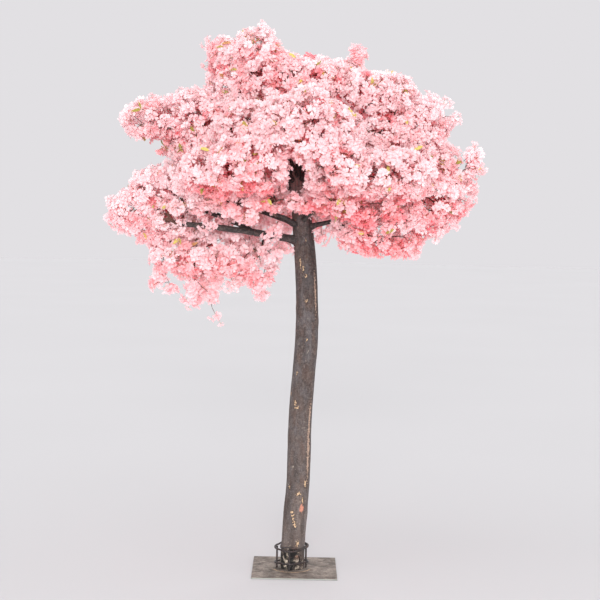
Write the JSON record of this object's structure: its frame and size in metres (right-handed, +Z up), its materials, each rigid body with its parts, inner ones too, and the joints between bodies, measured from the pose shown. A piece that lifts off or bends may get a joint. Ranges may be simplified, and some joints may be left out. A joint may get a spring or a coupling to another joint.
{
  "type": "artificial cherry blossom tree",
  "caption": "Artificial cherry blossom tree: a wooden trunk in a welded rod cage on a flat square steel plate, with boughs that carry masses of pink silk blossom.",
  "frame": {"origin": "centre of the steel plate's underside", "axes": "+Z up along the trunk, -Y towards the front, +X to the right as seen from the front"},
  "size_m": [1.978, 1.5952, 2.878],
  "materials": {
    "plate_steel": "flat steel plate, dull and worn, with scuffs and old paint",
    "rod_steel": "dark painted round rod with weld spatter",
    "trunk_bark": "real wood painted grey brown, with shallow long ridges, chips and bare streaks",
    "bough_bark": "dark brown natural branches, matt and rough",
    "blossom": "thin pink polyester silk, in ruffled double flowers, with a few yellow-green leaves"
  },
  "bodies": {
    "root": {"base_plate": "plate_steel", "bough_back_left": "bough_bark", "bough_back_low": "bough_bark", "bough_back_right": "bough_bark", "bough_back_top": "bough_bark", "bough_front_left": "bough_bark", "bough_front_right": "bough_bark", "bough_front_top": "bough_bark", "bough_left_fork": "bough_bark", "bough_left_hanging_inner": "bough_bark", "bough_left_hanging_outer": "bough_bark", "bough_left_low": "bough_bark", "bough_left_mid": "bough_bark", "bough_low_left": "bough_bark", "bough_low_right": "bough_bark", "bough_right_low": "bough_bark", "bough_right_mid": "bough_bark", "bough_top_left": "bough_bark", "bough_top_right": "bough_bark", "bough_upper_left": "bough_bark", "bough_upper_right": "bough_bark", "cage_ring_lower": "rod_steel", "cage_ring_upper": "rod_steel", "cage_upright_back": "rod_steel", "cage_upright_front": "rod_steel", "cage_upright_left": "rod_steel", "cage_upright_right": "rod_steel", "crown_back_left": "blossom", "crown_back_low": "blossom", "crown_back_right": "blossom", "crown_back_top": "blossom", "crown_front_left": "blossom", "crown_front_right": "blossom", "crown_front_top": "blossom", "crown_left": "blossom", "crown_low_left": "blossom", "crown_low_right": "blossom", "crown_lower_left": "blossom", "crown_lower_right": "blossom", "crown_right": "blossom", "crown_top_left": "blossom", "crown_top_right": "blossom", "crown_upper_left": "blossom", "crown_upper_right": "blossom", "trunk": "trunk_bark"}
  },
  "joints": []
}
